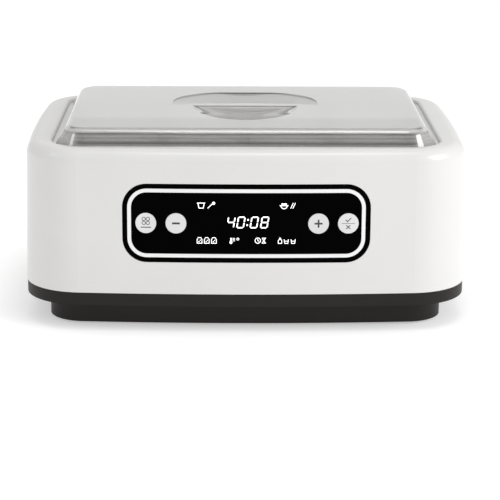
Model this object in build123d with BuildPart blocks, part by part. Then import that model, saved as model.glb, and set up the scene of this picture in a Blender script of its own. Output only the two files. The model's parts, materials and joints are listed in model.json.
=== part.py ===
from build123d import *
import os
from math import radians, tan

# A countertop yogurt maker.  A white drafted housing with crowned sides stands on a black base
# pan with a set-in plinth.  A clear lift-off lid with a ridged finger bowl closes a metal well
# that warms eight capped jars.  A crowned control panel with four push buttons fills the front.
#
# Frame: millimetres, origin on the resting surface under the middle of the body, +X to the
# user's right, +Y towards the back, +Z up.  The control panel faces -Y.

# ---------------------------------------------------------------- driving dimensions
body_width = 320.0
body_depth = 230.0
corner_radius = 43.0
front_crown = 7.4        # bow of the front and back between the sharp corners
side_crown = 4.3         # bow of the two sides between the sharp corners
draft = 1.3              # degrees, narrowing upwards

foot_height = 1.5        # how far the rubber feet stand out of the plinth
step_z = 18.8            # underside of the base pan's outer band
base_top_z = 28.0        # joint between base pan and housing
rim_z = 130.0            # top of the housing's rim
lid_top_z = 140.4

wall = 2.6
rim_thickness = 2.8
rim_radius = 9.0

# Lid seat: a recess in the rim, a ledge, and the mouth inside it.
recess_width, recess_depth, recess_radius = 275.0, 189.0, 23.5
recess_edge_radius = 2.4
ledge_z, ledge_bottom_z = 127.4, 124.6
ledge_width, ledge_depth, ledge_radius = 292.0, 206.0, 30.0
mouth_width, mouth_depth, mouth_radius = 260.0, 170.0, 20.0

# Control panel, centred on the front.
panel_z = 79.0
panel_width, panel_height, panel_radius = 172.8, 55.8, 17.0
button_xs = {"function": -70.1, "minus": -49.1, "plus": 50.2, "confirm": 71.0}
button_radius = 7.2
board_front_y = -102.0   # front face of the control board

# Well and jars.
well_width, well_depth, well_radius = 256.0, 166.0, 18.0
well_sheet, well_bend = 1.2, 4.0
well_floor_z = 40.0
flange_width, flange_depth, flange_radius = 288.0, 203.0, 29.0
jar_pitch_x, jar_pitch_y = 63.5, 78.0
jar_height = 78.0

os.makedirs("parts", exist_ok=True)


def save(piece, name):
    """Labels a finished piece and writes it under its node name."""
    piece.label = name
    export_step(piece, f"parts/{name}.step")


def bow_radius(half_chord, rise):
    """The radius of an arc from its half chord and its rise."""
    return (half_chord ** 2 + rise ** 2) / (2 * rise)


front_bow = bow_radius(body_width / 2 - side_crown, front_crown)
side_bow = bow_radius(body_depth / 2 - front_crown, side_crown)


def crowned_outline(inset=0.0):
    """Adds the body's plan outline to the current sketch: four bowed sides, round corners."""
    centre_y = front_bow - body_depth / 2
    centre_x = side_bow - body_width / 2
    with BuildSketch(mode=Mode.PRIVATE) as outline:
        with Locations((0, centre_y)):
            Circle(front_bow - inset)
        with Locations((0, -centre_y)):
            Circle(front_bow - inset, mode=Mode.INTERSECT)
        with Locations((centre_x, 0)):
            Circle(side_bow - inset, mode=Mode.INTERSECT)
        with Locations((-centre_x, 0)):
            Circle(side_bow - inset, mode=Mode.INTERSECT)
        fillet(outline.vertices(), corner_radius - inset)
    add(outline.sketch)


def envelope(inset, bottom, top):
    """The housing's drafted envelope between two heights, shrunk all round by inset."""
    with BuildPart() as block:
        with BuildSketch(Plane.XY.offset(bottom)):
            crowned_outline(inset + (bottom - base_top_z) * tan(radians(draft)))
        extrude(amount=top - bottom, taper=draft)
    return block.part


# ---------------------------------------------------------------- panel layers
# The panel's pieces follow the crowned, drafted front: each is a straight prism along Y cut
# to the space between two envelopes, given as depths below the housing's outer surface.
frame_face, ring_face, window_face = 0.2, 0.3, 0.5
rebate_floor, groove_floor, plate_back = 1.5, 1.9, 2.9
shoulder_face, shoulder_back, frame_back = 3.2, 4.0, 5.6
panel_reach = 36.0
panel_depths = {depth: envelope(depth, panel_z - panel_reach, panel_z + panel_reach)
                for depth in (frame_face, ring_face, window_face, rebate_floor, groove_floor,
                              plate_back, shoulder_face, shoulder_back, frame_back)}
prism_back_y, prism_length = 100.0, 20.0


def panel_slice(front, back, x, shape):
    """A layer of the panel between two depths below the front; shape draws its outline."""
    with BuildPart() as layer:
        with BuildSketch(Plane.XZ.offset(prism_back_y)):
            with Locations((x, panel_z)):
                shape()
        extrude(amount=prism_length)
        add(panel_depths[front], mode=Mode.INTERSECT)
        add(panel_depths[back], mode=Mode.SUBTRACT)
    return layer.part


def panel_layer(front, back, width, height, radius):
    """A rounded-rectangle layer across the middle of the panel."""
    return panel_slice(front, back, 0, lambda: RectangleRounded(width, height, radius))


def panel_disc(front, back, radius, x):
    """A round layer of the panel."""
    return panel_slice(front, back, x, lambda: Circle(radius))


# ---------------------------------------------------------------- housing
boss_radius = 4.5
boss_points = [(x, y) for x in (-140.7, 140.7) for y in (-93.3, 93.3)] + [(-153.2, 0), (153.2, 0)]
boss_height = 32.0
base_screw_radius, thread_gap, base_pilot_depth = 1.7, 0.05, 12.0
well_screw_points = [(x, y) for x in (-90, -30, 30, 90) for y in (-97.6, 97.6)]
well_screw_points += [(x, y) for x in (-141.0, 141.0) for y in (-45, 45)]
well_screw_radius = 1.5
well_screw_reach = 4.2
rebate_gap = 0.2
frame_width, frame_height, frame_radius = 170.0, 53.0, 15.6
inlet_z = 50.0
inlet_width, inlet_height, inlet_radius = 20.0, 12.4, 5.0
inlet_screw_x = 13.0
inlet_pilot_radius, inlet_pilot_depth = 1.15, 2.8
rear_inner_y = 111.9     # inner face of the housing's rear wall at the inlet
rear_cut_y, rear_cut_length = 105.0, 20.0

with BuildPart() as housing_cavity:
    with BuildSketch(Plane.XY.offset(base_top_z)):
        crowned_outline(wall)
    extrude(amount=rim_z - rim_thickness - base_top_z, taper=draft)
    fillet(housing_cavity.faces().sort_by(Axis.Z)[-1].edges(), rim_radius - wall)

with BuildPart() as housing:
    with BuildSketch(Plane.XY.offset(base_top_z)):
        crowned_outline()
    extrude(amount=rim_z - base_top_z, taper=draft)
    fillet(housing.faces().sort_by(Axis.Z)[-1].edges(), rim_radius)
    add(housing_cavity.part, mode=Mode.SUBTRACT)
    # Ledge ring under the rim, then the lid's recess and the mouth of the well.
    with BuildSketch(Plane.XY.offset(ledge_bottom_z)):
        RectangleRounded(ledge_width, ledge_depth, ledge_radius)
    extrude(amount=rim_z - rim_thickness - ledge_bottom_z + 0.2)
    # Screw bosses for the base pan.
    with BuildSketch(Plane.XY.offset(base_top_z)):
        with Locations(*boss_points):
            Circle(boss_radius)
    extrude(amount=boss_height)
    with BuildSketch(Plane.XY.offset(ledge_z)):
        RectangleRounded(recess_width, recess_depth, recess_radius)
    extrude(amount=rim_z - ledge_z, mode=Mode.SUBTRACT)
    rim_face = housing.faces().filter_by(Axis.Z).sort_by(Axis.Z)[-1]
    fillet(rim_face.inner_wires()[0].edges(), recess_edge_radius)
    with BuildSketch(Plane.XY.offset(ledge_bottom_z)):
        RectangleRounded(mouth_width, mouth_depth, mouth_radius)
    extrude(amount=rim_z - ledge_bottom_z, mode=Mode.SUBTRACT)
    # Pilot holes for the base screws and the well's screws.
    with BuildSketch(Plane.XY.offset(base_top_z)):
        with Locations(*boss_points):
            Circle(base_screw_radius + thread_gap)
    extrude(amount=base_pilot_depth, mode=Mode.SUBTRACT)
    with BuildSketch(Plane.XY.offset(ledge_bottom_z)):
        with Locations(*well_screw_points):
            Circle(well_screw_radius + thread_gap)
    extrude(amount=well_screw_reach, mode=Mode.SUBTRACT)
    # Panel opening with a shallow rebate round it.
    with BuildSketch(Plane.XZ.offset(prism_back_y)):
        with Locations((0, panel_z)):
            RectangleRounded(frame_width + 2 * rebate_gap, frame_height + 2 * rebate_gap,
                             frame_radius + rebate_gap)
    extrude(amount=prism_length, mode=Mode.SUBTRACT)
    with BuildSketch(Plane.XZ.offset(prism_back_y)):
        with Locations((0, panel_z)):
            RectangleRounded(panel_width + 2 * rebate_gap, panel_height + 2 * rebate_gap,
                             panel_radius + rebate_gap)
    rebate = extrude(amount=prism_length, mode=Mode.PRIVATE) - panel_depths[rebate_floor]
    add(rebate, mode=Mode.SUBTRACT)
    # Inlet opening and its two pilot holes in the rear wall.
    with BuildSketch(Plane.XZ.offset(-rear_cut_y)):
        with Locations((0, inlet_z)):
            RectangleRounded(inlet_width + 2 * rebate_gap, inlet_height + 2 * rebate_gap,
                             inlet_radius + rebate_gap)
    extrude(amount=-rear_cut_length, mode=Mode.SUBTRACT)
    with BuildSketch(Plane.XZ.offset(-(rear_inner_y - 1))):
        with Locations((-inlet_screw_x, inlet_z), (inlet_screw_x, inlet_z)):
            Circle(inlet_pilot_radius)
    extrude(amount=-inlet_pilot_depth, mode=Mode.SUBTRACT)
save(housing.part, "housing")

# ---------------------------------------------------------------- base pan and what stands on it
band_reveal = 0.3
plinth_inset = 16.5
pan_floor = 2.0
shelf = 2.4
foot_points = [(x, y) for x in (-112, 112) for y in (-70, 70)]
foot_radius, foot_stem_radius = 8.0, 3.9
foot_barb_radius, foot_barb_height, foot_barb_taper = 5.2, 2.0, 25
counterbore_z, counterbore_radius = step_z + 2.8, 3.6
air_slot_length, air_slot_width, air_slot_pitch, air_slot_count = 34.0, 4.0, 12.0, 9
air_slot_y = -45.0
power_board_x, power_board_y = 0.0, 46.0
power_board_width, power_board_depth = 110.0, 72.0
power_board_z, board_thickness = 9.0, 1.6
power_post_points = [(power_board_x + x, power_board_y + y) for x in (-51, 51) for y in (-32, 32)]
power_post_radius, power_pilot_radius = 3.2, 1.15

with BuildPart() as base_pan:
    with BuildSketch(Plane.XY.offset(step_z)):
        crowned_outline(band_reveal)
    extrude(amount=base_top_z - step_z)
    with BuildSketch(Plane.XY.offset(step_z)):
        crowned_outline(band_reveal + wall)
    extrude(amount=base_top_z - step_z, mode=Mode.SUBTRACT)
    with BuildSketch(Plane.XY.offset(step_z)):
        crowned_outline(band_reveal + wall / 2)
    extrude(amount=shelf)
    with BuildSketch(Plane.XY.offset(foot_height)):
        crowned_outline(plinth_inset)
    extrude(amount=step_z - foot_height)
    with BuildSketch(Plane.XY.offset(foot_height + pan_floor)):
        crowned_outline(plinth_inset + wall)
    extrude(amount=step_z + shelf - foot_height - pan_floor, mode=Mode.SUBTRACT)
    with BuildSketch(Plane.XY.offset(step_z)):
        with Locations(*boss_points):
            Circle(boss_radius + 0.5)
    extrude(amount=base_top_z - step_z)
    with BuildSketch(Plane.XY.offset(step_z)):
        with Locations(*boss_points):
            Circle(base_screw_radius + 0.2)
    extrude(amount=base_top_z - step_z, mode=Mode.SUBTRACT)
    with BuildSketch(Plane.XY.offset(step_z)):
        with Locations(*boss_points):
            Circle(counterbore_radius)
    extrude(amount=counterbore_z - step_z, mode=Mode.SUBTRACT)
    # Posts for the power board, foot holes and a row of air slots.
    with BuildSketch(Plane.XY.offset(foot_height + pan_floor)):
        with Locations(*power_post_points):
            Circle(power_post_radius)
    extrude(amount=power_board_z - foot_height - pan_floor)
    with BuildSketch(Plane.XY.offset(foot_height + pan_floor)):
        with Locations(*power_post_points):
            Circle(power_pilot_radius)
    extrude(amount=power_board_z - foot_height - pan_floor, mode=Mode.SUBTRACT)
    with BuildSketch(Plane.XY.offset(foot_height)):
        with Locations(*foot_points):
            Circle(foot_stem_radius + 0.1)
        with Locations((0, air_slot_y)):
            with GridLocations(air_slot_pitch, 0, air_slot_count, 1):
                SlotOverall(air_slot_length, air_slot_width, rotation=90)
    extrude(amount=pan_floor, mode=Mode.SUBTRACT)
save(base_pan.part, "base_pan")

with BuildPart() as rubber_feet:
    with BuildSketch():
        with Locations(*foot_points):
            Circle(foot_radius)
    extrude(amount=foot_height)
    chamfer(rubber_feet.edges().group_by(Axis.Z)[0], 0.4)
    with BuildSketch(Plane.XY.offset(foot_height)):
        with Locations(*foot_points):
            Circle(foot_stem_radius)
    extrude(amount=pan_floor)
    with BuildSketch(Plane.XY.offset(foot_height + pan_floor)):
        with Locations(*foot_points):
            Circle(foot_barb_radius)
    extrude(amount=foot_barb_height, taper=foot_barb_taper)
save(rubber_feet.part, "rubber_feet")


def screws(name, plane, points, radius, reach, head_radius, head_height):
    """A group of pan-head screws; plane is under the heads, its Z runs along the shanks."""
    with BuildPart() as group:
        with BuildSketch(plane):
            with Locations(*points):
                Circle(radius)
        extrude(amount=reach)
        with BuildSketch(plane):
            with Locations(*points):
                Circle(head_radius)
        extrude(amount=-head_height)
        heads = group.faces().sort_by(Axis(plane.origin, plane.z_dir))[:len(points)]
        fillet(heads.edges(), head_height * 0.35)
        with BuildSketch(plane.offset(-head_height)):
            with Locations(*points):
                Rectangle(head_radius * 1.1, head_radius * 0.24)
                Rectangle(head_radius * 0.24, head_radius * 1.1)
        extrude(amount=head_height * 0.5, mode=Mode.SUBTRACT)
    save(group.part, name)


screws("base_screws", Plane.XY.offset(counterbore_z), boss_points, base_screw_radius, 17, 3.2, 2.4)

# ---------------------------------------------------------------- heating well
flange_z = ledge_bottom_z - well_sheet
stud_points = [(x, y) for x in (-98, 98) for y in (-55, 55)]
stud_radius, stud_length = 2.0, 7.5
heater_lead_points = [(-48.5, 46.0), (-42.5, 46.0)]

with BuildPart() as well:
    with BuildSketch(Plane.XY.offset(well_floor_z)):
        RectangleRounded(well_width, well_depth, well_radius)
    extrude(amount=flange_z - well_floor_z)
    fillet(well.faces().sort_by(Axis.Z)[0].edges(), well_bend)
    with BuildSketch(Plane.XY.offset(flange_z)):
        RectangleRounded(flange_width, flange_depth, flange_radius)
    extrude(amount=well_sheet)
    with BuildPart(mode=Mode.PRIVATE) as well_cavity:
        with BuildSketch(Plane.XY.offset(well_floor_z + well_sheet)):
            RectangleRounded(well_width - 2 * well_sheet, well_depth - 2 * well_sheet,
                             well_radius - well_sheet)
        extrude(amount=ledge_bottom_z - well_floor_z)
        fillet(well_cavity.faces().sort_by(Axis.Z)[0].edges(), well_bend - well_sheet)
    add(well_cavity.part, mode=Mode.SUBTRACT)
    with BuildSketch(Plane.XY.offset(flange_z)):
        with Locations(*well_screw_points):
            Circle(well_screw_radius + 0.2)
    extrude(amount=well_sheet, mode=Mode.SUBTRACT)
    with BuildSketch(Plane.XY.offset(well_floor_z)):
        with Locations(*stud_points):
            Circle(stud_radius)
    extrude(amount=-stud_length)
save(well.part, "well")

screws("well_screws", Plane.XY.offset(flange_z), well_screw_points, well_screw_radius, 5.2, 2.8, 2.0)

foil_thickness, plate_thickness, mat_thickness, nut_height = 0.6, 1.4, 5.0, 3.0
foil_z = well_floor_z - foil_thickness
plate_z = foil_z - plate_thickness
mat_z = plate_z - mat_thickness


cutout_x = 60.0


def heater_sheet(width, depth, stud_hole_radius, window_width, window_depth):
    """The outline of a flat layer under the well, cleared for the studs and the sensor."""
    RectangleRounded(width, depth, 8)
    with Locations(*stud_points):
        Circle(stud_hole_radius, mode=Mode.SUBTRACT)
    RectangleRounded(window_width, window_depth, 3, mode=Mode.SUBTRACT)


with BuildPart() as heater_foil:
    with BuildSketch(Plane.XY.offset(foil_z)):
        heater_sheet(214, 126, 2.3, 11, 11)
    extrude(amount=foil_thickness)
save(heater_foil.part, "heater_foil")

with BuildPart() as heater_plate:
    with BuildSketch(Plane.XY.offset(plate_z)):
        heater_sheet(222, 136, 2.3, 11, 11)
    extrude(amount=plate_thickness)
save(heater_plate.part, "heater_plate")

with BuildPart() as insulation_mat:
    with BuildSketch(Plane.XY.offset(mat_z)):
        heater_sheet(226, 140, 6.0, 38, 22)
        with Locations(*heater_lead_points):
            Circle(2.2, mode=Mode.SUBTRACT)
        with Locations((cutout_x, 0)):
            Rectangle(26, 14, mode=Mode.SUBTRACT)
    extrude(amount=mat_thickness)
save(insulation_mat.part, "insulation_mat")

with BuildPart() as heater_nuts:
    with BuildSketch(Plane.XY.offset(plate_z)):
        with Locations(*stud_points):
            RegularPolygon(4.0, 6)
            Circle(stud_radius, mode=Mode.SUBTRACT)
    extrude(amount=-nut_height)
save(heater_nuts.part, "heater_nuts")

sensor_height = 4.0
with BuildPart() as temperature_sensor:
    with BuildSketch(Plane.XY.offset(well_floor_z)):
        Circle(4.5)
    extrude(amount=-sensor_height)
    chamfer(temperature_sensor.edges().group_by(Axis.Z)[-1], 0.5)
save(temperature_sensor.part, "temperature_sensor")

clip_thickness = 0.8
with BuildPart() as sensor_clip:
    with BuildSketch(Plane.XY.offset(well_floor_z - sensor_height)):
        RectangleRounded(32, 8, 1.5)
        Circle(1.6, mode=Mode.SUBTRACT)
    extrude(amount=-clip_thickness)
    with BuildSketch(Plane.XY.offset(well_floor_z - sensor_height)):
        with Locations((-14.5, 0), (14.5, 0)):
            Rectangle(3, 8)
    extrude(amount=plate_z - well_floor_z + sensor_height)
save(sensor_clip.part, "sensor_clip")

cutout_length, cutout_width, cutout_height = 18.0, 7.0, 3.6
cutout_mid_z = plate_z - cutout_height / 2
with BuildPart() as thermal_cutout:
    with BuildSketch(Plane.XY.offset(plate_z)):
        with Locations((cutout_x, 0)):
            RectangleRounded(cutout_length, cutout_width, 1)
    extrude(amount=-cutout_height)
    chamfer(thermal_cutout.edges().group_by(Axis.Z)[0], 0.6)
    with BuildSketch(Plane.YZ.offset(cutout_x + cutout_length / 2)):
        with Locations((-1.8, cutout_mid_z), (1.8, cutout_mid_z)):
            Circle(0.5)
    extrude(amount=3)
save(thermal_cutout.part, "thermal_cutout")

# ---------------------------------------------------------------- jars and caps
jar_radius, jar_neck_radius, jar_glass, jar_bottom = 29.0, 25.6, 2.5, 3.0
cap_radius, cap_skirt, cap_top = 27.6, 14.0, 1.6
jar_base_z = well_floor_z + well_sheet
jar_places = [((column - 1.5) * jar_pitch_x, (row - 0.5) * jar_pitch_y)
              for row in (0, 1) for column in (0, 1, 2, 3)]

shoulder_z = jar_height - cap_skirt - 3
neck_top = jar_height - cap_top - 0.3

with BuildPart() as jar:
    with BuildSketch(Plane.XZ):
        with BuildLine():
            FilletPolyline((0, 0), (jar_radius, 0), (jar_radius, shoulder_z - 9),
                           (jar_neck_radius, shoulder_z), (jar_neck_radius, neck_top), radius=3.5)
            Polyline((jar_neck_radius, neck_top), (0, neck_top), (0, 0))
        make_face()
    revolve(axis=Axis.Z)
    with BuildSketch(Plane.XZ):
        with BuildLine():
            FilletPolyline((0, jar_bottom), (jar_radius - jar_glass, jar_bottom),
                           (jar_radius - jar_glass, shoulder_z - 9.5),
                           (jar_neck_radius - jar_glass, shoulder_z),
                           (jar_neck_radius - jar_glass, neck_top), radius=3)
            Polyline((jar_neck_radius - jar_glass, neck_top), (0, neck_top),
                     (0, jar_bottom))
        make_face()
    revolve(axis=Axis.Z, mode=Mode.SUBTRACT)

with BuildPart() as cap:
    with BuildSketch(Plane.XY.offset(jar_height - cap_skirt)):
        Circle(cap_radius)
    extrude(amount=cap_skirt)
    fillet(cap.edges().group_by(Axis.Z)[-1], 1.5)
    with BuildSketch(Plane.XY.offset(jar_height - cap_skirt)):
        Circle(jar_neck_radius + 0.15)
    extrude(amount=cap_skirt - cap_top, mode=Mode.SUBTRACT)

for number, (jar_x, jar_y) in enumerate(jar_places, start=1):
    place = Pos(jar_x, jar_y, jar_base_z)
    save(place * jar.part, f"jar_{number}")
    save(place * cap.part, f"jar_cap_{number}")

# ---------------------------------------------------------------- lid
lid_width, lid_depth, lid_radius = 270.0, 185.0, 21.5
lid_wall, lid_base_z, lid_draft, lid_round = 2.4, ledge_z + 0.1, 30.0, 7.0
lid_rim_height = 1.6
skirt_width, skirt_depth, skirt_radius, skirt_drop = 258.0, 168.0, 19.0, 2.4
# Thumb scoop in front and finger scoop behind, each a shallow barrel, with a ridge between.
thumb_half_width, thumb_reach, thumb_depth, thumb_wall_y = 39.5, 54.0, 5.0, 1.0
finger_half_width, finger_reach, finger_depth = 54.5, 54.5, 8.0
finger_rim_depth, finger_corner = 1.5, 39.0
ridge_back_y, ridge_bow = 5.5, 5.5


def barrel(wall_y, direction, length, half_width, depth, rim_depth, grow=0.0):
    """A barrel whose underside dips below the lid's top, deepest at wall_y.

    It falls off to rim_depth at half_width to each side and at length along Y.
    """
    drop = depth - rim_depth
    across = (half_width ** 2 + drop ** 2) / (2 * drop)
    along = (length ** 2 + drop ** 2) / (2 * drop)
    axis_z = lid_top_z - depth + across
    low_z = axis_z - across - grow
    reach = length + 14
    rise = along + grow - ((along + grow) ** 2 - reach ** 2) ** 0.5
    half = reach / 2
    half_rise = along + grow - ((along + grow) ** 2 - half ** 2) ** 0.5
    with BuildPart() as body:
        with BuildSketch(Plane.YZ):
            with BuildLine():
                start = (wall_y, low_z)
                end = (wall_y + direction * reach, low_z + rise)
                ThreePointArc(start, (wall_y + direction * half, low_z + half_rise), end)
                Polyline(end, (end[0], axis_z), (wall_y, axis_z), start)
            make_face()
        revolve(axis=Axis((0, 0, axis_z), (0, 1, 0)))
    return body.part


def thumb_scoop(grow=0.0):
    """The thumb scoop's volume, above the lid's top as well."""
    return barrel(thumb_wall_y + grow, -1, thumb_reach + grow, thumb_half_width, thumb_depth, 0.0, grow)


def finger_scoop(grow=0.0):
    """The finger scoop's volume: a bowed ridge wall in front and a rounded outline behind."""
    side = finger_half_width + grow
    with BuildPart() as scoop:
        with BuildSketch(Plane.XY.offset(lid_top_z - finger_depth - 2 * lid_wall)):
            with BuildLine():
                ThreePointArc((-side, ridge_back_y - grow), (0, ridge_back_y + ridge_bow - grow),
                              (side, ridge_back_y - grow))
                Polyline((side, ridge_back_y - grow), (side, finger_reach + grow),
                         (-side, finger_reach + grow), (-side, ridge_back_y - grow))
            face = make_face()
            fillet(face.vertices().group_by(Axis.Y)[-1], finger_corner + grow)
        extrude(amount=3 * finger_depth)
        add(barrel(ridge_back_y - grow, 1, finger_reach - ridge_back_y + grow, finger_half_width,
                   finger_depth, finger_rim_depth, grow), mode=Mode.INTERSECT)
    return scoop.part


with BuildPart() as lid_cavity:
    with BuildSketch(Plane.XY.offset(lid_base_z)):
        RectangleRounded(lid_width - 2 * lid_wall, lid_depth - 2 * lid_wall, lid_radius - lid_wall)
    extrude(amount=lid_top_z - lid_wall - lid_base_z, taper=lid_draft)
    fillet(lid_cavity.faces().sort_by(Axis.Z)[-1].edges(), lid_round - lid_wall)
    add(thumb_scoop(lid_wall), mode=Mode.SUBTRACT)
    add(finger_scoop(lid_wall), mode=Mode.SUBTRACT)

with BuildPart() as lid:
    with BuildSketch(Plane.XY.offset(lid_base_z)):
        RectangleRounded(lid_width, lid_depth, lid_radius)
    extrude(amount=lid_top_z - lid_base_z, taper=lid_draft)
    fillet(lid.faces().sort_by(Axis.Z)[-1].edges(), lid_round)
    add(thumb_scoop(), mode=Mode.SUBTRACT)
    add(finger_scoop(), mode=Mode.SUBTRACT)
    add(lid_cavity.part, mode=Mode.SUBTRACT)
    # Inner rim that centres the lid in the mouth of the well.
    with BuildSketch(Plane.XY.offset(lid_base_z - skirt_drop)):
        RectangleRounded(skirt_width, skirt_depth, skirt_radius)
        RectangleRounded(skirt_width - 2 * lid_wall, skirt_depth - 2 * lid_wall,
                         skirt_radius - lid_wall, mode=Mode.SUBTRACT)
    extrude(amount=skirt_drop)
    with BuildSketch(Plane.XY.offset(lid_base_z)):
        RectangleRounded(lid_width - lid_wall, lid_depth - lid_wall, lid_radius - lid_wall / 2)
        RectangleRounded(skirt_width - 2 * lid_wall, skirt_depth - 2 * lid_wall,
                         skirt_radius - lid_wall, mode=Mode.SUBTRACT)
    extrude(amount=lid_rim_height, taper=lid_draft)
save(lid.part, "lid")

# ---------------------------------------------------------------- control panel
ring_width, ring_height, ring_radius = 166.0, 49.0, 13.6
window_width, window_height, window_radius = 160.8, 43.8, 11.0
button_hole_radius = button_radius + 0.25
button_shoulder_radius, button_stem_radius = 8.6, 2.4
switch_size, switch_depth = 6.2, 3.4
plunger_radius, plunger_front_y, plunger_length = 1.7, board_front_y - 4.9, 2.3
post_points = [(x, panel_z + z) for x in (-78, 78) for z in (-17.5, 17.5)]
post_radius, post_pilot_radius, post_pilot_depth = 3.0, 1.1, 5.6
hook_points = [(x, panel_z + z) for x in (-48, 0, 48) for z in (-26.6, 26.6)]
display_width, display_height, display_depth = 50.0, 17.0, 8.4
legend_places = [(x, panel_z + 12.0) for x in (-27.5, 29.5)]
legend_places += [(x, panel_z - 12.5) for x in (-27.5, -7.5, 11.0, 29.0)]
legend_width, legend_height = 12.0, 5.0


def panel_prism(points, y_from, y_to, shape):
    """Straight prisms along Y between two planes; shape draws one outline in the sketch."""
    with BuildPart() as prism:
        with BuildSketch(Plane.XZ.offset(-y_from)):
            with Locations(*points):
                shape()
        extrude(amount=y_from - y_to)
    return prism.part


button_points = [(x, panel_z) for x in button_xs.values()]
outside_y = -(prism_back_y + prism_length)

with BuildPart() as panel_frame:
    add(panel_layer(frame_face, rebate_floor, panel_width, panel_height, panel_radius))
    add(panel_layer(frame_face, frame_back, frame_width, frame_height, frame_radius))
    add(panel_layer(frame_face, groove_floor, ring_width + 0.2, ring_height + 0.2,
                    ring_radius + 0.1),
        mode=Mode.SUBTRACT)
    add(panel_layer(plate_back, frame_back, frame_width - 4, frame_height - 4, frame_radius - 2),
        mode=Mode.SUBTRACT)
    add(panel_prism(button_points, -prism_back_y, outside_y, lambda: Circle(button_hole_radius)),
        mode=Mode.SUBTRACT)
    add(panel_prism([(0, panel_z)], -prism_back_y, outside_y,
                    lambda: Rectangle(display_width + 1, display_height + 1)), mode=Mode.SUBTRACT)
    add(panel_prism(legend_places, -prism_back_y, outside_y,
                    lambda: Rectangle(legend_width, legend_height)), mode=Mode.SUBTRACT)
    add(panel_prism(post_points, board_front_y, outside_y, lambda: Circle(post_radius))
        & panel_depths[plate_back])
    add(panel_prism(post_points, board_front_y, board_front_y - post_pilot_depth,
                    lambda: Circle(post_pilot_radius)), mode=Mode.SUBTRACT)
    # Snap hooks behind the housing's wall.
    hooks = panel_prism(hook_points, -prism_back_y, outside_y, lambda: Rectangle(9, 2.4))
    add((hooks & panel_depths[plate_back]) - panel_depths[frame_back])
save(panel_frame.part, "panel_frame")

with BuildPart() as trim_ring:
    add(panel_layer(ring_face, groove_floor, ring_width, ring_height, ring_radius))
    add(panel_prism([(0, panel_z)], -prism_back_y, outside_y,
                    lambda: RectangleRounded(window_width, window_height, window_radius)),
        mode=Mode.SUBTRACT)
save(trim_ring.part, "trim_ring")

with BuildPart() as display_window:
    add(panel_layer(window_face, groove_floor, window_width - 0.2, window_height - 0.2,
                    window_radius - 0.1))
    add(panel_prism(button_points, -prism_back_y, outside_y, lambda: Circle(button_hole_radius)),
        mode=Mode.SUBTRACT)
save(display_window.part, "display_window")

for name, button_x in button_xs.items():
    with BuildPart() as button:
        add(panel_disc(ring_face, shoulder_back, button_radius, button_x))
        add(panel_disc(shoulder_face, shoulder_back, button_shoulder_radius, button_x))
        add(panel_prism([(button_x, panel_z)], plunger_front_y, outside_y,
                        lambda: Circle(button_stem_radius)) & panel_depths[shoulder_face])
    save(button.part, f"button_{name}")

    with BuildPart() as plunger:
        with BuildSketch(Plane.XZ.offset(-plunger_front_y)):
            with Locations((button_x, panel_z)):
                Circle(plunger_radius)
        extrude(amount=-plunger_length)
    save(plunger.part, f"switch_plunger_{name}")

with BuildPart() as tact_switches:
    with BuildSketch(Plane.XZ.offset(-board_front_y)):
        with Locations(*button_points):
            Rectangle(switch_size, switch_size)
    extrude(amount=switch_depth)
    with BuildSketch(Plane.XZ.offset(-board_front_y + switch_depth)):
        with Locations(*button_points):
            Circle(plunger_radius + 0.05)
    extrude(amount=-1.8, mode=Mode.SUBTRACT)
save(tact_switches.part, "tact_switches")

with BuildPart() as display_module:
    with BuildSketch(Plane.XZ.offset(-board_front_y)):
        with Locations((0, panel_z)):
            Rectangle(display_width, display_height)
    extrude(amount=display_depth)
save(display_module.part, "display_module")

with BuildPart() as indicator_lamps:
    with BuildSketch(Plane.XZ.offset(-board_front_y)):
        with Locations(*legend_places):
            Rectangle(3.2, 1.6)
    extrude(amount=1.2)
save(indicator_lamps.part, "indicator_lamps")

with BuildPart() as control_board:
    with BuildSketch(Plane.XZ.offset(-board_front_y)):
        with Locations((0, panel_z)):
            RectangleRounded(164, 46, 2)
        with Locations(*post_points):
            Circle(1.3, mode=Mode.SUBTRACT)
    extrude(amount=-board_thickness)
save(control_board.part, "control_board")

board_back_y = board_front_y + board_thickness
screws("board_screws", Plane(origin=(0, board_back_y, 0), x_dir=(-1, 0, 0), z_dir=(0, -1, 0)),
       [(-x, -z) for x, z in post_points], 1.05, 6.8, 2.2, 1.5)

# ---------------------------------------------------------------- power board
board_top_z = power_board_z + board_thickness
terminal_height, terminal_lead_z = 10.0, 16.0
mains_terminal_y, heater_terminal = 75.0, (-45.5, 46.0)
connector_depth = 6.0
sensor_plug, control_plug = (0.0, 62.0), (30.0, 60.0)
control_socket = (30.0, 14.0)

with BuildPart() as power_board:
    with BuildSketch(Plane.XY.offset(power_board_z)):
        with Locations((power_board_x, power_board_y)):
            RectangleRounded(power_board_width, power_board_depth, 3)
        with Locations(*power_post_points):
            Circle(1.4, mode=Mode.SUBTRACT)
    extrude(amount=board_thickness)
save(power_board.part, "power_board")

with BuildPart() as transformer:
    with BuildSketch(Plane.XY.offset(board_top_z)):
        with Locations((-12, 50)):
            Rectangle(36, 16)
    extrude(amount=20)
    with BuildSketch(Plane.XY.offset(board_top_z + 3)):
        with Locations((-12, 50)):
            RectangleRounded(22, 30, 4)
    extrude(amount=14)
save(transformer.part, "transformer")

with BuildPart() as capacitor:
    with BuildSketch(Plane.XY.offset(board_top_z)):
        with Locations((20, 58)):
            Circle(5)
    extrude(amount=16)
    fillet(capacitor.edges().group_by(Axis.Z)[-1], 0.8)
save(capacitor.part, "capacitor")

with BuildPart() as relay:
    with BuildSketch(Plane.XY.offset(board_top_z)):
        with Locations((40, 42)):
            RectangleRounded(19, 15.5, 1)
    extrude(amount=15)
save(relay.part, "relay")

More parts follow.
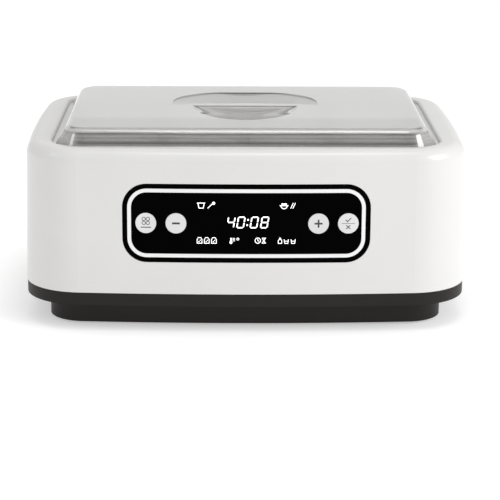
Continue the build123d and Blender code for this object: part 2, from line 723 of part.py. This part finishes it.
with BuildPart() as terminal_blocks:
    with BuildSketch(Plane.XY.offset(board_top_z)):
        with Locations((0, mains_terminal_y)):
            Rectangle(18, 9)
        with Locations(heater_terminal):
            Rectangle(15, 9)
        with Locations(control_socket):
            Rectangle(12, 6)
    extrude(amount=terminal_height)
    with BuildSketch(Plane.XZ.offset(-board_back_y)):
        with Locations(sensor_plug, control_plug):
            Rectangle(10, 6)
    extrude(amount=-connector_depth)
save(terminal_blocks.part, "terminal_blocks")

screws("power_board_screws", Plane(origin=(0, 0, board_top_z), x_dir=(1, 0, 0), z_dir=(0, 0, -1)),
       [(x, -y) for x, y in power_post_points], 1.1, 5.8, 2.4, 1.6)

# ---------------------------------------------------------------- mains inlet
flange_front_y, flange_thickness = rear_inner_y - 0.3, 2.0
inlet_face_y, inlet_back_y = 114.0, 97.0
socket_depth, pin_x, pin_radius = 13.0, 4.3, 1.2
tab_end_y = 93.0

with BuildPart() as mains_inlet:
    with BuildSketch(Plane.XZ.offset(-inlet_face_y)):
        with Locations((0, inlet_z)):
            RectangleRounded(inlet_width, inlet_height, inlet_radius)
    extrude(amount=inlet_face_y - inlet_back_y)
    with BuildSketch(Plane.XZ.offset(-flange_front_y)):
        with Locations((0, inlet_z)):
            SlotOverall(2 * inlet_screw_x + 7, 13)
        with Locations((-inlet_screw_x, inlet_z), (inlet_screw_x, inlet_z)):
            Circle(1.3, mode=Mode.SUBTRACT)
    extrude(amount=flange_thickness)
    with BuildSketch(Plane.XZ.offset(-inlet_face_y)):
        with Locations((0, inlet_z)):
            SlotOverall(17.4, 9.4)
    extrude(amount=socket_depth, mode=Mode.SUBTRACT)
    with BuildSketch(Plane.XZ.offset(-inlet_face_y)):
        with Locations((-pin_x, inlet_z), (pin_x, inlet_z)):
            Circle(pin_radius)
    extrude(amount=inlet_face_y - inlet_back_y + 1, mode=Mode.SUBTRACT)
save(mains_inlet.part, "mains_inlet")

with BuildPart() as inlet_pins:
    with BuildSketch(Plane.XZ.offset(-inlet_face_y + 2.5)):
        with Locations((-pin_x, inlet_z), (pin_x, inlet_z)):
            Circle(pin_radius)
    extrude(amount=inlet_face_y - 2.5 - tab_end_y)
    fillet(inlet_pins.edges().group_by(Axis.Y)[-1], 0.5)
save(inlet_pins.part, "inlet_pins")

screws("inlet_screws", Plane(origin=(0, flange_front_y - flange_thickness, 0), x_dir=(1, 0, 0),
                             z_dir=(0, 1, 0)),
       [(x, -inlet_z) for x in (-inlet_screw_x, inlet_screw_x)], 1.1, 3.6, 2.2, 1.4)


def wires(name, routes, radius, bend):
    """Round leads, each along its own route of straight runs and arcs."""
    with BuildPart() as leads:
        for route in routes:
            with BuildLine() as path:
                FilletPolyline(*route, radius=bend)
            with BuildSketch(Plane(origin=path.line @ 0, z_dir=path.line % 0)):
                Circle(radius)
            sweep(path=path.line)
    save(leads.part, name)


well_gap_y = (-well_depth / 2 - 6.0, well_depth / 2 + 5.5)
wires("mains_leads",
      [[(x, tab_end_y, inlet_z), (x, well_gap_y[1], inlet_z), (x, well_gap_y[1], terminal_lead_z),
        (x, mains_terminal_y + 4.5, terminal_lead_z)] for x in (-pin_x, pin_x)], 1.2, 2.5)
wires("sensor_lead",
      [[(0, 0, well_floor_z - sensor_height - clip_thickness), (0, 0, 24), (0, well_gap_y[0], 24),
        (0, well_gap_y[0], sensor_plug[1]), (0, board_back_y + connector_depth, sensor_plug[1])]],
      1.0, 3.0)
wires("control_cable",
      [[(control_socket[0], control_socket[1] - 3, 14), (control_socket[0], well_gap_y[0], 14),
        (control_socket[0], well_gap_y[0], control_plug[1]),
        (control_socket[0], board_back_y + connector_depth, control_plug[1])]], 1.6, 3.0)

with BuildPart() as heater_leads:
    with BuildSketch(Plane.XY.offset(board_top_z + terminal_height)):
        with Locations(*heater_lead_points):
            Circle(1.1)
    extrude(amount=plate_z - board_top_z - terminal_height)
save(heater_leads.part, "heater_leads")
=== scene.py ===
"""The look of a countertop yogurt maker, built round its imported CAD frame."""

import json
import math

import bmesh
import bpy
from mathutils import Matrix, Vector
from mathutils.bvhtree import BVHTree


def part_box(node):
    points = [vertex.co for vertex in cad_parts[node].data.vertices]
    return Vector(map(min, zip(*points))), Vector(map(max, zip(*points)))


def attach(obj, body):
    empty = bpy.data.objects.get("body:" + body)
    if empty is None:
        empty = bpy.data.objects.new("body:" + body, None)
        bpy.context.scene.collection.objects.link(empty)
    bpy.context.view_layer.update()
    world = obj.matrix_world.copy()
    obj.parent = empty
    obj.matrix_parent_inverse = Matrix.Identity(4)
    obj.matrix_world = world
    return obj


MM = 0.001

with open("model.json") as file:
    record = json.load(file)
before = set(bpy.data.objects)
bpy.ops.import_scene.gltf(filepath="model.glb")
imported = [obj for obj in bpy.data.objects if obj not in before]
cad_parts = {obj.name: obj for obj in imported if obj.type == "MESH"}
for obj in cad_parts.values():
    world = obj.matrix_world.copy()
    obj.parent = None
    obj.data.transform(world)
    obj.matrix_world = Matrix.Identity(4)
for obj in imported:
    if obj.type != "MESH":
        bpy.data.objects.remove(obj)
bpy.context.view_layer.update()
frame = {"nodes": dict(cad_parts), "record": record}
nodes = frame["nodes"]


# ---------------------------------------------------------------- materials
# Heights and distances are in metres. Bands are (level, brightness) pairs, from the lowest level up.
# Painted reflection and painted shade on the lid's wall: dark and light bands by height, the lightest
# a painted highlight on its top rounding.
PAINTED_REFLECTION_BANDS = ((0.0, 0.50), (0.15, 0.60), (0.27, 0.10), (0.36, 0.42), (0.44, 0.56), (0.52, 0.36),
              (0.59, 0.66), (0.67, 0.50), (0.74, 0.14), (0.80, 0.85), (0.90, 1.0), (1.0, 0.85))
# Noise that wavers the painted bands: its cells per metre along X, Y and Z, and how far it shifts
# them in metres.
BAND_WAVER_CELLS, BAND_WAVER_SWING = (16.0, 16.0, 620.0), 0.0011
# Painted shade in the handle's scoops: a greyer floor and a thin dark line just under the lip.
SCOOP_PAINTED_SHADE_BANDS = ((0.0, 0.86), (0.86, 0.93), (0.925, 0.30), (0.97, 0.36), (1.0, 1.0))
SCOOP_DEPTH, SCOOP_LIP = 0.008, 0.00005
WARMTH = (1.0, 0.978, 0.962)

# The lid, from the sides of its box: where its painted bands start, its flat top and its painted
# shade at the front.
BANDS_START, TOP_INSET_X, TOP_INSET_Y = 0.0024, 0.0105, 0.0107
# Painted shade: the lid's top is greyer towards the front.
SHADE_FULL_UP_TO, SHADE_GONE_FROM, FRONT_SHADE_LEVEL = 0.0365, 0.0565, 0.74
TOP_TINT = (0.985, 0.98, 0.97)
EDGE_BLUR, EDGE_ROUND = 0.0008, 0.006
# Painted highlight round the lid wall's corners: how far it reaches, its colour and its share.
CORNER_HIGHLIGHT_REACH_X, CORNER_HIGHLIGHT_REACH_Y = (-0.009, 0.001), (-0.007, 0.002)
CORNER_HIGHLIGHT_COLOUR, CORNER_HIGHLIGHT_SHARE = (0.97, 0.96, 0.95), 0.75


def new_material(name):
    """A node material: the material, its node tree and its main shader."""
    material = bpy.data.materials.new(name)
    material.use_nodes = True
    tree = material.node_tree
    return material, tree, tree.nodes["Principled BSDF"]


def object_noise(tree, scale, detail=3.0, roughness=0.5, stretch=(1, 1, 1)):
    """A noise texture in the part's own coordinates; scale is in cells per metre."""
    place = tree.nodes.new("ShaderNodeTexCoord")
    mapping = tree.nodes.new("ShaderNodeMapping")
    mapping.inputs["Scale"].default_value = stretch
    noise = tree.nodes.new("ShaderNodeTexNoise")
    noise.inputs["Scale"].default_value = scale
    noise.inputs["Detail"].default_value = detail
    noise.inputs["Roughness"].default_value = roughness
    tree.links.new(place.outputs["Object"], mapping.inputs["Vector"])
    tree.links.new(mapping.outputs["Vector"], noise.inputs["Vector"])
    return noise.outputs["Fac"]


def map_range(tree, value, start, end, low=0.0, high=1.0, smooth=False):
    """Goes from low to high as the value goes from start to end."""
    node = tree.nodes.new("ShaderNodeMapRange")
    node.interpolation_type = "SMOOTHSTEP" if smooth else "LINEAR"
    for socket, number in (("From Min", start), ("From Max", end), ("To Min", low), ("To Max", high)):
        node.inputs[socket].default_value = number
    tree.links.new(value, node.inputs["Value"])
    return node.outputs["Result"]


def vary(tree, noise, low, high):
    """A number that wanders from low to high with a noise."""
    return map_range(tree, noise, 0.3, 0.7, low, high)


def tint(tree, noise, dark, light):
    """A colour that wanders from dark to light with a noise."""
    ramp = tree.nodes.new("ShaderNodeValToRGB")
    ramp.color_ramp.elements[0].position = 0.35
    ramp.color_ramp.elements[0].color = (*dark, 1)
    ramp.color_ramp.elements[1].position = 0.65
    ramp.color_ramp.elements[1].color = (*light, 1)
    tree.links.new(noise, ramp.inputs["Fac"])
    return ramp.outputs["Color"]


def bump(tree, shader, value, height, strength=1.0):
    """Feeds a height field, in metres, to a shader's normal."""
    node = tree.nodes.new("ShaderNodeBump")
    node.inputs["Distance"].default_value = height
    node.inputs["Strength"].default_value = strength
    tree.links.new(value, node.inputs["Height"])
    tree.links.new(node.outputs["Normal"], shader.inputs["Normal"])


def solid(name, colour, roughness, metallic=0.0, spread=0.06, grain=400.0, grain_height=0.00001,
          coat=0.0, coat_roughness=0.1, stretch=(1, 1, 1), specular=0.5):
    """An opaque surface with slight mottling, uneven gloss and a fine grain."""
    material, tree, shader = new_material(name)
    dark = tuple(c * (1 - spread) for c in colour)
    light = tuple(min(1.0, c * (1 + spread)) for c in colour)
    broad = object_noise(tree, 18.0, 2.0)
    fine = object_noise(tree, grain, 3.0, 0.6, stretch)
    tree.links.new(tint(tree, broad, dark, light), shader.inputs["Base Color"])
    gloss_spread = 0.05
    tree.links.new(vary(tree, fine, roughness - gloss_spread, roughness + gloss_spread),
                   shader.inputs["Roughness"])
    shader.inputs["Metallic"].default_value = metallic
    shader.inputs["Specular IOR Level"].default_value = specular
    shader.inputs["Coat Weight"].default_value = coat
    shader.inputs["Coat Roughness"].default_value = coat_roughness
    bump(tree, shader, fine, grain_height)
    return material


def glass(name, colour):
    """Clear glass with faint flow marks."""
    material, tree, shader = new_material(name)
    shader.inputs["Base Color"].default_value = (*colour, 1)
    shader.inputs["Transmission Weight"].default_value = 1.0
    shader.inputs["IOR"].default_value = 1.5
    flow = object_noise(tree, 14.0, 2.0, 0.4, (1.0, 2.2, 1.0))
    tree.links.new(vary(tree, flow, 0.0, 0.06), shader.inputs["Roughness"])
    bump(tree, shader, flow, 0.00012, 0.35)
    return material


def math_node(tree, operation, *values):
    """One arithmetic node; each value is a socket or a number."""
    node = tree.nodes.new("ShaderNodeMath")
    node.operation = operation
    for socket, value in zip(node.inputs, values):
        if isinstance(value, (int, float)):
            socket.default_value = value
        else:
            tree.links.new(value, socket)
    return node.outputs[0]


def banded(tree, value, bands):
    """A slightly warm grey that follows bands, used for the lid's painted reflection and painted
    shade.
    """
    ramp = tree.nodes.new("ShaderNodeValToRGB")
    stops = ramp.color_ramp.elements
    while len(stops) < len(bands):
        stops.new(1.0)
    for stop, (level, grey) in zip(stops, bands):
        stop.position = level
        stop.color = (*(grey * channel for channel in WARMTH), 1)
    tree.links.new(value, ramp.inputs["Fac"])
    return ramp.outputs["Color"]


def mix(tree, factor):
    """A node that blends colour A into colour B."""
    node = tree.nodes.new("ShaderNodeMix")
    node.data_type = "RGBA"
    tree.links.new(factor, node.inputs["Factor"])
    return node


def lid_top(tree, y, z, front_y, high_z):
    """Light, with painted shade greying it towards the front and a thin painted dark line round the
    scoops.
    """
    # Painted shade: greyer towards the front of the top.
    front = map_range(tree, y, front_y + SHADE_FULL_UP_TO, front_y + SHADE_GONE_FROM, FRONT_SHADE_LEVEL, smooth=True)
    # Painted shade: the thin dark line and greyer floor in the scoops, by depth.
    depth = map_range(tree, z, high_z - SCOOP_DEPTH, high_z - SCOOP_LIP)
    shade = math_node(tree, "MULTIPLY", front, banded(tree, depth, SCOOP_PAINTED_SHADE_BANDS))
    colour = tree.nodes.new("ShaderNodeCombineColor")
    for channel, value in zip(("Red", "Green", "Blue"), TOP_TINT):
        tree.links.new(math_node(tree, "MULTIPLY", shade, value), colour.inputs[channel])
    return colour.outputs["Color"]


def lid_wall(tree, z, low_z, high_z, over_x, over_y):
    """Painted reflection bands by height, wavered by long level noise, with a painted highlight round
    the corners.
    """
    # Painted reflection bands, wavered by noise.
    band_waver = object_noise(tree, 1.0, 2.0, 0.5, BAND_WAVER_CELLS)
    waver = math_node(tree, "MULTIPLY_ADD", band_waver, BAND_WAVER_SWING, z)
    height = map_range(tree, waver, low_z + BAND_WAVER_SWING / 2, high_z + BAND_WAVER_SWING / 2)
    # Painted highlight: the wall is lightened round its corners.
    corner_highlight = math_node(tree, "MULTIPLY", map_range(tree, over_x, *CORNER_HIGHLIGHT_REACH_X, smooth=True),
                       map_range(tree, over_y, *CORNER_HIGHLIGHT_REACH_Y, smooth=True))
    wall = mix(tree, math_node(tree, "MULTIPLY", corner_highlight, CORNER_HIGHLIGHT_SHARE))
    tree.links.new(banded(tree, height, PAINTED_REFLECTION_BANDS), wall.inputs["A"])
    wall.inputs["B"].default_value = (*CORNER_HIGHLIGHT_COLOUR, 1)
    return wall.outputs["Result"]


def smoked(name, box):
    """A clear smoke-tinted lid in its box: painted reflection bands and a painted corner highlight on
    its sloping wall, light across its top with painted shade at the front and round the scoops.
    """
    material, tree, shader = new_material(name)
    (front_y, foot_z), (side_x, back_y, high_z) = box[0][1:], box[1]
    place = tree.nodes.new("ShaderNodeTexCoord")
    split = tree.nodes.new("ShaderNodeSeparateXYZ")
    tree.links.new(place.outputs["Object"], split.inputs["Vector"])
    x, y, z = (split.outputs[axis] for axis in "XYZ")
    # How far each point lies outside the flat top.
    away_x, away_y = (math_node(tree, "ABSOLUTE", axis) for axis in (x, y))
    over_x = math_node(tree, "SUBTRACT", away_x, side_x - TOP_INSET_X)
    over_y = math_node(tree, "SUBTRACT", away_y, back_y - TOP_INSET_Y)
    outside = math_node(tree, "SMOOTH_MAX", over_x, over_y, EDGE_ROUND)
    blend = mix(tree, map_range(tree, outside, -EDGE_BLUR, EDGE_BLUR))
    tree.links.new(lid_top(tree, y, z, front_y, high_z), blend.inputs["A"])
    tree.links.new(lid_wall(tree, z, foot_z + BANDS_START, high_z, over_x, over_y),
                   blend.inputs["B"])
    tree.links.new(blend.outputs["Result"], shader.inputs["Base Color"])
    shader.inputs["Transmission Weight"].default_value = 0.70
    shader.inputs["IOR"].default_value = 1.5
    shader.inputs["Coat Weight"].default_value = 1.0
    shader.inputs["Coat Roughness"].default_value = 0.02
    shader.inputs["Coat IOR"].default_value = 1.6
    flow = object_noise(tree, 9.0, 2.0, 0.4, (1.0, 1.6, 1.0))
    tree.links.new(vary(tree, flow, 0.05, 0.11), shader.inputs["Roughness"])
    bump(tree, shader, flow, 0.0001, 0.3)
    return material


def lit(name, colour, strength):
    """A self-lit surface, very slightly uneven."""
    material, tree, shader = new_material(name)
    shader.inputs["Base Color"].default_value = (*colour, 1)
    shader.inputs["Emission Color"].default_value = (*colour, 1)
    glow = object_noise(tree, 300.0, 1.0)
    tree.links.new(vary(tree, glow, 0.9 * strength, strength), shader.inputs["Emission Strength"])
    shader.inputs["Roughness"].default_value = 0.4
    return material


# One look for each material slot of the record.
LOOKS = {
    "housing_white": solid("housing_white", (0.65, 0.645, 0.635), 0.32, spread=0.01, grain=900,
                           grain_height=0.000004, coat=0.25, coat_roughness=0.12),
    "base_black": solid("base_black", (0.0115, 0.0090, 0.0084), 0.48, grain=1500,
                        grain_height=0.00002, specular=0.22),
    "foot_rubber": solid("foot_rubber", (0.03, 0.03, 0.03), 0.75, grain=900, grain_height=0.00004),
    "steel_screw": solid("steel_screw", (0.62, 0.62, 0.63), 0.30, metallic=1.0, grain=1200),
    "well_aluminium": solid("well_aluminium", (0.80, 0.80, 0.81), 0.30, metallic=1.0, grain=500,
                            stretch=(0.1, 1, 1)),
    "heater_film": solid("heater_film", (0.55, 0.30, 0.08), 0.35),
    "felt": solid("felt", (0.70, 0.69, 0.67), 0.95, grain=700, grain_height=0.0002),
    "component_white": solid("component_white", (0.80, 0.80, 0.76), 0.45),
    "component_black": solid("component_black", (0.025, 0.025, 0.025), 0.45),
    "component_blue": solid("component_blue", (0.03, 0.14, 0.42), 0.35),
    "panel_black": solid("panel_black", (0.0006, 0.0006, 0.0006), 0.30, grain=900, specular=0.01),
    "ring_silver": solid("ring_silver", (0.80, 0.80, 0.80), 0.42, metallic=0.35, spread=0.02,
                         grain_height=0.000002),
    "window_black": solid("window_black", (0.0004, 0.0004, 0.0005), 0.16, grain=200,
                          grain_height=0.000002, specular=0.012),
    "lamp_white": solid("lamp_white", (0.9, 0.9, 0.85), 0.4),
    "board_green": solid("board_green", (0.03, 0.18, 0.08), 0.4),
    "transformer_core": solid("transformer_core", (0.22, 0.21, 0.2), 0.45, metallic=0.4),
    "pin_brass": solid("pin_brass", (0.80, 0.62, 0.30), 0.25, metallic=1.0),
    "lead_grey": solid("lead_grey", (0.30, 0.30, 0.31), 0.55),
    "lid_smoke": smoked("lid_smoke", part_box("lid")),
    "button_grey": solid("button_grey", (0.66, 0.66, 0.66), 0.40, grain=1200),
    "jar_glass": glass("jar_glass", (0.93, 0.97, 0.95)),
    "cap_white": solid("cap_white", (0.80, 0.80, 0.79), 0.42, grain=900),
    "display_lit": lit("display_lit", (1.0, 1.0, 1.0), 0.9),
    "legend_dark": solid("legend_dark", (0.03, 0.03, 0.03), 0.5),
}

for row in frame["record"]["subparts"]:
    node, look = nodes[row["node"]], LOOKS[row["material_slot"]]
    for slot in node.material_slots:
        slot.material = look
    if not node.material_slots:
        node.data.materials.append(look)


# ---------------------------------------------------------------- flat symbols
DISC_SIDES, ARC_STEPS = 28, 32
PRINT_DEPTH, IN_FRONT, WELD = 0.08 * MM, -0.3, 0.002 * MM
SHARPEST_MITRE = 0.35
FINE_LINE = 0.42


class Symbol:
    """A flat symbol drawn in millimetres, then laid on a node's front as a thin raised print."""

    def __init__(self, name):
        self.name = name
        self.faces = []

    def polygon(self, points):
        self.faces.append([tuple(p) for p in points])

    def disc(self, x, z, radius):
        turns = [2 * math.pi * i / DISC_SIDES for i in range(DISC_SIDES)]
        self.polygon([(x + radius * math.cos(t), z + radius * math.sin(t)) for t in turns])

    def arc(self, x, z, radius, width, start=0.0, sweep=360.0):
        """A band along an arc; angles in degrees, anticlockwise from +X."""
        inner, outer = radius - width / 2, radius + width / 2
        turns = [math.radians(start + sweep * i / ARC_STEPS) for i in range(ARC_STEPS + 1)]
        for a, b in zip(turns, turns[1:]):
            self.polygon([(x + r * math.cos(t), z + r * math.sin(t))
                          for r, t in ((inner, a), (outer, a), (outer, b), (inner, b))])

    def stroke(self, points, width):
        """A band of constant width with mitred corners along an open line."""
        line = [Vector(p) for p in points]
        sides = []
        for i, p in enumerate(line):
            before = (p - line[i - 1]).normalized() if i else None
            after = (line[i + 1] - p).normalized() if i + 1 < len(line) else None
            along = ((before or after) + (after or before)).normalized()
            segment_along = after or before
            normal, segment_normal = (Vector((-v.y, v.x)) for v in (along, segment_along))
            reach = normal * width / 2 / max(SHARPEST_MITRE, normal.dot(segment_normal))
            sides.append((p + reach, p - reach))
        for (a, b), (c, d) in zip(sides, sides[1:]):
            self.polygon([a, c, d, b])

    def lay(self, node_name, x, z, slot_name, body, lift, shear=0.0):
        """Makes the mesh: projected along Y onto the node's front at (x, z) mm, lift mm off it."""
        target = nodes[node_name]
        surface = BVHTree.FromPolygons([v.co for v in target.data.vertices],
                                       [p.vertices for p in target.data.polygons])
        mesh_data = bmesh.new()
        for face in self.faces:
            corners = []
            for px, pz in face:
                qx, qz = (x + px + shear * pz) * MM, (z + pz) * MM
                hit = surface.ray_cast(Vector((qx, IN_FRONT, qz)), Vector((0, 1, 0)))[0]
                y = hit.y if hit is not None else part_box(node_name)[0][1]
                corners.append(mesh_data.verts.new((qx, y - lift * MM, qz)))
            mesh_data.faces.new(corners)
        bmesh.ops.remove_doubles(mesh_data, verts=mesh_data.verts, dist=WELD)
        extruded = bmesh.ops.extrude_face_region(mesh_data, geom=list(mesh_data.faces))
        moved = [v for v in extruded["geom"] if isinstance(v, bmesh.types.BMVert)]
        bmesh.ops.translate(mesh_data, verts=moved, vec=(0, PRINT_DEPTH, 0))
        bmesh.ops.recalc_face_normals(mesh_data, faces=mesh_data.faces)
        mesh = bpy.data.meshes.new(self.name)
        mesh_data.to_mesh(mesh)
        mesh_data.free()
        piece = bpy.data.objects.new(self.name, mesh)
        bpy.context.scene.collection.objects.link(piece)
        piece.data.materials.append(LOOKS[slot_name])
        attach(piece, body)


def middle(node_name):
    """The middle of a node's front, as x and z in millimetres."""
    low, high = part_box(node_name)
    return (low[0] + high[0]) / 2 / MM, (low[2] + high[2]) / 2 / MM


# Seven-segment digits, and the colon's dots.
DIGIT_HEIGHT, DIGIT_WIDTH, BAR, BAR_GAP = 8.4, 5.4, 0.88, 0.16
DIGIT_LEAN = 0.17
DOT_X, DOT_Z, DOT_RADIUS = 1.15, 1.9, 0.62
SEGMENTS = {"0": "abcdef", "4": "bcfg", "8": "abcdefg"}


def segment(symbol, x, name):
    """One bar of a digit, with pointed ends."""
    half_w, half_h = (DIGIT_WIDTH - BAR) / 2, (DIGIT_HEIGHT - BAR) / 2
    ends = {"a": ((-half_w, half_h), (half_w, half_h)), "b": ((half_w, half_h), (half_w, 0)),
            "c": ((half_w, 0), (half_w, -half_h)), "d": ((-half_w, -half_h), (half_w, -half_h)),
            "e": ((-half_w, 0), (-half_w, -half_h)), "f": ((-half_w, half_h), (-half_w, 0)),
            "g": ((-half_w, 0), (half_w, 0))}
    start, end = (Vector(p) + Vector((x, 0)) for p in ends[name])
    along = (end - start).normalized()
    side = Vector((-along.y, along.x)) * BAR / 2
    start, end = start + along * BAR_GAP, end - along * BAR_GAP
    tip = along * BAR / 2
    symbol.polygon([start, start + tip + side, end - tip + side, end, end - tip - side,
                    start + tip - side])


def draw_digits():
    """The time on the display."""
    digits = Symbol("display_digits")
    for character, x in (("4", -10.4), ("0", -3.5), ("0", 5.8), ("8", 13.0)):
        for name in SEGMENTS[character]:
            segment(digits, x, name)
    for z in (-DOT_Z, DOT_Z):
        digits.disc(DOT_X, z, DOT_RADIUS)
    x, z = middle("display_window")
    digits.lay("display_window", x - 0.4, z + 0.9, "display_lit", "root", 0.05, DIGIT_LEAN)


def legend(name, offset_x, offset_z, draw):
    """A lit symbol, placed from the middle of the display window."""
    symbol = Symbol(name)
    draw(symbol)
    x, z = middle("display_window")
    symbol.lay("display_window", x + offset_x, z + offset_z, "display_lit", "root", 0.04)


def cup_and_spoon(s):
    s.stroke([(-6.2, 1.5), (-5.5, -1.9), (-2.5, -1.9), (-1.8, 1.5)], 0.5)
    s.stroke([(-6.8, 1.7), (-1.2, 1.7)], 0.5)
    s.stroke([(0.6, -1.9), (3.8, 1.1)], 0.55)
    s.disc(4.7, 1.6, 1.05)


def bowl_of_beans(s):
    s.arc(-2.2, 0.0, 2.2, 0.5, 180, 180)
    s.stroke([(-5.2, 0.0), (0.8, 0.0)], 0.5)
    for x in (-3.5, -2.2, -0.9):
        s.disc(x, 1.15, 0.55)
    for lean in (0.0, 1.5):
        s.stroke([(2.4 + lean, -2.1), (4.2 + lean, 1.9)], FINE_LINE)


def jar_with_bubbles(s):
    for x in (-5.0, 0.0, 5.0):
        s.stroke([(x - 1.275, 2.0), (x + 1.275, 2.0)], FINE_LINE)
        s.stroke([(x - 1.02, 1.4), (x - 1.7, 0.8), (x - 1.7, -2.0), (x + 1.7, -2.0), (x + 1.7, 0.8),
                  (x + 1.02, 1.4)], FINE_LINE)
        s.disc(x - 0.4, -0.9, 0.4)
        s.disc(x + 0.5, 0.1, 0.34)


def thermometer(s):
    s.stroke([(-2.6, -0.7), (-2.6, 1.9)], 0.85)
    s.disc(-2.6, -1.3, 1.0)
    for z in (-0.2, 0.7, 1.6):
        s.stroke([(-1.5, z), (0.2, z)], 0.34)
    s.arc(2.2, 1.1, 0.75, 0.36)


def clock(s):
    s.arc(-1.4, 0, 1.9, 0.45)
    s.stroke([(-1.4, 1.2), (-1.4, 0), (-0.4, -0.6)], 0.4)
    s.stroke([(1.6, 1.8), (4.0, 1.8), (1.6, -1.8), (4.0, -1.8), (1.62, 1.75)], 0.4)


def bottle_and_cup(s):
    s.stroke([(-5.4, 2.1), (-5.4, 0.9), (-6.2, 0.2), (-6.2, -2.0), (-3.8, -2.0), (-3.8, 0.2),
              (-4.6, 0.9), (-4.6, 2.1)], FINE_LINE)
    for x in (-0.6, 4.2):
        s.stroke([(x - 1.5, 0.9), (x - 1.1, -2.0), (x + 1.1, -2.0), (x + 1.5, 0.9)], FINE_LINE)
        s.stroke([(x - 1.2, -0.4), (x + 1.2, -0.4)], 0.36)


def draw_button_symbols():
    """Dark prints on the four buttons."""
    menu = Symbol("function_symbol")
    for x in (-1.45, 1.45):
        for z in (0.1, 3.0):
            menu.arc(x, z, 1.2, 0.46)
    menu.stroke([(-3.6, -3.0), (3.6, -3.0)], 0.65)
    minus = Symbol("minus_symbol")
    minus.stroke([(-2.7, 0), (2.7, 0)], 1.35)
    plus = Symbol("plus_symbol")
    plus.stroke([(-2.8, 0), (2.8, 0)], 1.2)
    for sign in (1, -1):
        plus.stroke([(0, 0.6 * sign), (0, 2.8 * sign)], 1.2)
    confirm = Symbol("confirm_symbol")
    confirm.stroke([(-1.9, 2.6), (-0.6, 1.3), (2.0, 3.9)], 0.62)
    confirm.stroke([(-4.6, 0), (4.6, 0)], 0.32)
    confirm.stroke([(-1.4, -3.9), (1.4, -1.3)], 0.6)
    confirm.stroke([(-1.4, -1.3), (-0.2, -2.4)], 0.6)
    confirm.stroke([(0.2, -2.8), (1.4, -3.9)], 0.6)
    symbols = {"function": menu, "minus": minus, "plus": plus, "confirm": confirm}
    for name, symbol in symbols.items():
        x, z = middle(f"button_{name}")
        symbol.lay(f"button_{name}", x, z, "legend_dark", f"{name}_button", 0.03)


draw_digits()
legend("yogurt_symbol", -27.6, 12.9, cup_and_spoon)
legend("bean_symbol", 28.2, 12.9, bowl_of_beans)
legend("ferment_symbol", -27.7, -12.1, jar_with_bubbles)
legend("temperature_symbol", -8.2, -12.1, thermometer)
legend("time_symbol", 9.3, -12.1, clock)
legend("drink_symbol", 28.4, -12.1, bottle_and_cup)
draw_button_symbols()


# ---------------------------------------------------------------- floor, light and camera
def add_floor():
    """White paper, partly self-lit so that the shadow on it stays faint."""
    mesh = bpy.data.meshes.new("floor")
    reach, below_feet = 6.0, 0.0001
    corners = ((-reach, -reach), (reach, -reach), (reach, reach), (-reach, reach))
    mesh.from_pydata([(x, y, -below_feet) for x, y in corners], [], [(0, 1, 2, 3)])
    floor = bpy.data.objects.new("floor", mesh)
    bpy.context.scene.collection.objects.link(floor)
    material, tree, shader = new_material("floor_paper")
    fibre = object_noise(tree, 60.0, 3.0)
    tree.links.new(tint(tree, fibre, (0.67, 0.67, 0.67), (0.69, 0.69, 0.69)),
                   shader.inputs["Base Color"])
    shader.inputs["Roughness"].default_value = 0.8
    shader.inputs["Emission Color"].default_value = (1, 1, 1, 1)
    shader.inputs["Emission Strength"].default_value = 0.42
    floor.data.materials.append(material)


def add_light(name, place, aim, size, power, size_y=None):
    """A square area light, or an oblong one with size_y; sizes in metres, power in watts."""
    light = bpy.data.lights.new(name, "AREA")
    light.energy = power
    light.size = size
    if size_y:
        light.shape = "RECTANGLE"
        light.size_y = size_y
    lamp = bpy.data.objects.new(name, light)
    lamp.location = place
    lamp.rotation_euler = (Vector(aim) - Vector(place)).to_track_quat("-Z", "Y").to_euler()
    bpy.context.scene.collection.objects.link(lamp)


def set_tone():
    """Plain sRGB tones, so that the paper is white and the panel is black."""
    bpy.context.scene.view_settings.view_transform = "Standard"


def add_world(strength):
    """Even white light from all round."""
    world = bpy.data.worlds.new("studio")
    bpy.context.scene.world = world
    world.use_nodes = True
    background = world.node_tree.nodes["Background"]
    background.inputs["Color"].default_value = (1, 1, 1, 1)
    background.inputs["Strength"].default_value = strength


def add_camera():
    """A long lens a little above the front, turned slightly to the right."""
    place, lens, sensor = Vector((-0.01556, -1.3015, 0.3917)), 127.15, 36
    pitch, yaw, roll = (math.radians(angle) for angle in (15.595, 0.872, 0.35))
    forward = Vector((math.sin(yaw) * math.cos(pitch), math.cos(yaw) * math.cos(pitch),
                      -math.sin(pitch)))
    level_right = Vector((math.cos(yaw), -math.sin(yaw), 0))
    level_up = level_right.cross(forward)
    right = level_right * math.cos(roll) + level_up * math.sin(roll)
    up = level_up * math.cos(roll) - level_right * math.sin(roll)
    camera = bpy.data.cameras.new("camera")
    camera.sensor_width = sensor
    camera.lens = lens
    obj = bpy.data.objects.new("camera", camera)
    rotation = Matrix((right, up, -forward)).transposed()
    obj.matrix_world = Matrix.Translation(place) @ rotation.to_4x4()
    bpy.context.scene.collection.objects.link(obj)
    bpy.context.scene.camera = obj


add_floor()
set_tone()
add_world(0.78)
add_light("key", (1.45, -0.75, 0.85), (0, 0, 0.06), 0.9, 14)
add_light("top", (0.1, -0.25, 1.7), (0, 0, 0.1), 0.6, 4)
add_light("left_strip", (-1.37, -0.52, 1.04), (0, 0, 0.1), 0.3, 1.3, 0.5)
add_camera()
